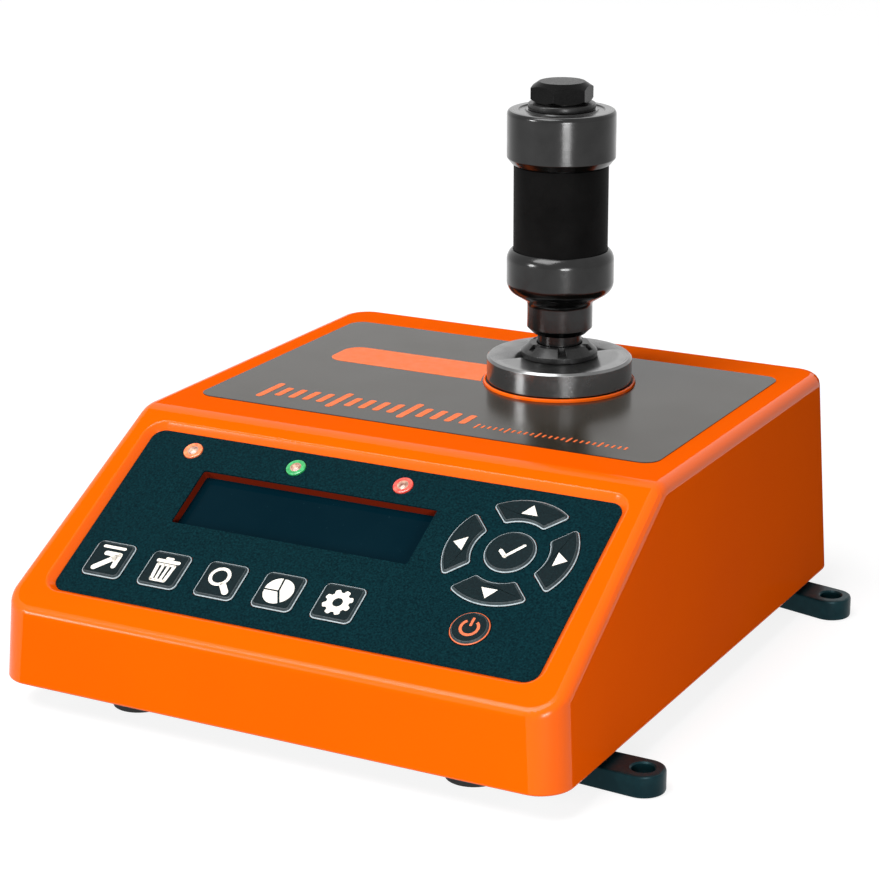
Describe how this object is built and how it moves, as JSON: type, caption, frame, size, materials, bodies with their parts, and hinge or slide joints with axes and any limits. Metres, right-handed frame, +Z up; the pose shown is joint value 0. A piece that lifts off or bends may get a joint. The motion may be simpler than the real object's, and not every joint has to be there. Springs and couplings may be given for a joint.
{
  "type": "bench torque tester",
  "caption": "Bench torque tester: wedge-shaped housing with a display and keys on its slope, mounting lugs, and a rundown adapter with a test bolt on its square drive.",
  "frame": {"origin": "on the bench, under the middle of the tester's bounding box, which is also the middle of the housing's rim", "axes": "+X to the operator's right, +Y away from the operator, +Z up along the drive's axis"},
  "size_m": [0.2106, 0.2054, 0.1667],
  "materials": {
    "housing": "smooth satin",
    "base_plate": "black anodised",
    "lug": "black, satin",
    "rubber": "matt",
    "screw": "plain",
    "label": "satin sheet",
    "overlay": "fine texture",
    "key": "fine texture with a light rim",
    "window": "tinted",
    "display": "dark cell",
    "board": "green lacquer",
    "dome": "sprung sheet",
    "orange_lamp": "clear",
    "green_lamp": "clear",
    "red_lamp": "clear",
    "flat_cable": "smooth",
    "transducer": "turned",
    "gauge": "foil",
    "collar": "dark",
    "adapter": "turned",
    "sleeve": "blackened",
    "spring": "oiled",
    "washer": "dark",
    "bolt": "black oxide",
    "component": "moulded",
    "standoff": "plain",
    "cell": "wrapped",
    "holder": "moulded",
    "usb": "plated",
    "jack": "moulded"
  },
  "bodies": {
    "base": {"housing": "housing", "base_plate": "base_plate", "rubber_feet": "rubber", "dust_seal": "rubber", "base_screws": "screw", "foot_screws": "screw", "lug_screws": "screw", "display_screws": "screw", "keypad_screws": "screw", "transducer_screws": "screw", "board_screws": "screw", "top_label": "label", "control_overlay": "overlay", "display_window": "window", "display_module": "display", "keypad_board": "board", "main_board": "board", "snap_domes": "dome", "left_led": "orange_lamp", "centre_led": "green_lamp", "right_led": "red_lamp", "keypad_ribbon": "flat_cable", "display_ribbon": "flat_cable", "transducer_lead": "flat_cable", "battery_lead": "flat_cable", "transducer_body": "transducer", "strain_gauges": "gauge", "locking_collar": "collar", "board_components": "component", "board_standoffs": "standoff", "battery_cells": "cell", "battery_holder": "holder", "usb_socket": "usb", "charger_socket": "jack"},
    "export_key": {"export_key": "key"},
    "delete_key": {"delete_key": "key"},
    "view_key": {"view_key": "key"},
    "statistics_key": {"statistics_key": "key"},
    "settings_key": {"settings_key": "key"},
    "up_key": {"up_key": "key"},
    "right_key": {"right_key": "key"},
    "down_key": {"down_key": "key"},
    "left_key": {"left_key": "key"},
    "confirm_key": {"confirm_key": "key"},
    "power_key": {"power_key": "key"},
    "front_right_lug": {"front_right_lug": "lug"},
    "front_left_lug": {"front_left_lug": "lug"},
    "rear_right_lug": {"rear_right_lug": "lug"},
    "rear_left_lug": {"rear_left_lug": "lug"},
    "adapter": {"adapter_cup": "adapter", "adapter_sleeve": "sleeve", "disc_springs": "spring"},
    "cap": {"adapter_cap": "adapter", "thrust_washer": "washer"},
    "bolt": {"test_bolt": "bolt"}
  },
  "joints": [
    {"name": "export_key_press", "type": "slide", "parent": "base", "child": "export_key", "axis": [0, 0.4939, -0.8695], "range_m": [0, 0.0005], "stiffness_N_per_m": 1200, "springref_m": -0.0005},
    {"name": "delete_key_press", "type": "slide", "parent": "base", "child": "delete_key", "axis": [0, 0.4939, -0.8695], "range_m": [0, 0.0005], "stiffness_N_per_m": 1200, "springref_m": -0.0005},
    {"name": "view_key_press", "type": "slide", "parent": "base", "child": "view_key", "axis": [0, 0.4939, -0.8695], "range_m": [0, 0.0005], "stiffness_N_per_m": 1200, "springref_m": -0.0005},
    {"name": "statistics_key_press", "type": "slide", "parent": "base", "child": "statistics_key", "axis": [0, 0.4939, -0.8695], "range_m": [0, 0.0005], "stiffness_N_per_m": 1200, "springref_m": -0.0005},
    {"name": "settings_key_press", "type": "slide", "parent": "base", "child": "settings_key", "axis": [0, 0.4939, -0.8695], "range_m": [0, 0.0005], "stiffness_N_per_m": 1200, "springref_m": -0.0005},
    {"name": "up_key_press", "type": "slide", "parent": "base", "child": "up_key", "axis": [0, 0.4939, -0.8695], "range_m": [0, 0.0005], "stiffness_N_per_m": 1200, "springref_m": -0.0005},
    {"name": "right_key_press", "type": "slide", "parent": "base", "child": "right_key", "axis": [0, 0.4939, -0.8695], "range_m": [0, 0.0005], "stiffness_N_per_m": 1200, "springref_m": -0.0005},
    {"name": "down_key_press", "type": "slide", "parent": "base", "child": "down_key", "axis": [0, 0.4939, -0.8695], "range_m": [0, 0.0005], "stiffness_N_per_m": 1200, "springref_m": -0.0005},
    {"name": "left_key_press", "type": "slide", "parent": "base", "child": "left_key", "axis": [0, 0.4939, -0.8695], "range_m": [0, 0.0005], "stiffness_N_per_m": 1200, "springref_m": -0.0005},
    {"name": "confirm_key_press", "type": "slide", "parent": "base", "child": "confirm_key", "axis": [0, 0.4939, -0.8695], "range_m": [0, 0.0005], "stiffness_N_per_m": 1200, "springref_m": -0.0005},
    {"name": "power_key_press", "type": "slide", "parent": "base", "child": "power_key", "axis": [0, 0.4939, -0.8695], "range_m": [0, 0.0005], "stiffness_N_per_m": 1200, "springref_m": -0.0005},
    {"name": "front_right_lug_swivel", "type": "hinge", "parent": "base", "child": "front_right_lug", "pos_m": [0.075, -0.0675, 0.00345], "axis": [0, 0, 1], "range_deg": [-30, 90]},
    {"name": "front_left_lug_swivel", "type": "hinge", "parent": "base", "child": "front_left_lug", "pos_m": [-0.075, -0.0675, 0.00345], "axis": [0, 0, 1], "range_deg": [-90, 30]},
    {"name": "rear_right_lug_swivel", "type": "hinge", "parent": "base", "child": "rear_right_lug", "pos_m": [0.075, 0.083, 0.00345], "axis": [0, 0, 1], "range_deg": [-80, 30]},
    {"name": "rear_left_lug_swivel", "type": "hinge", "parent": "base", "child": "rear_left_lug", "pos_m": [-0.075, 0.083, 0.00345], "axis": [0, 0, 1], "range_deg": [-30, 80]},
    {"name": "adapter_lift", "type": "slide", "parent": "base", "child": "adapter", "axis": [0, 0, 1], "range_m": [0, 0.011]},
    {"name": "cap_slide", "type": "slide", "parent": "adapter", "child": "cap", "axis": [0, 0, 1], "range_m": [-0.002, 0], "deforming": ["disc_springs"]},
    {"name": "bolt_turn", "type": "hinge", "parent": "cap", "child": "bolt", "pos_m": [0.0164, 0.04995, 0.16], "axis": [0, 0, 1], "range_deg": [-490, 0]}
  ],
  "couplings": [
    {"joint": "bolt_turn", "follows": "cap_slide", "rad_per_m": 4188.8}
  ]
}
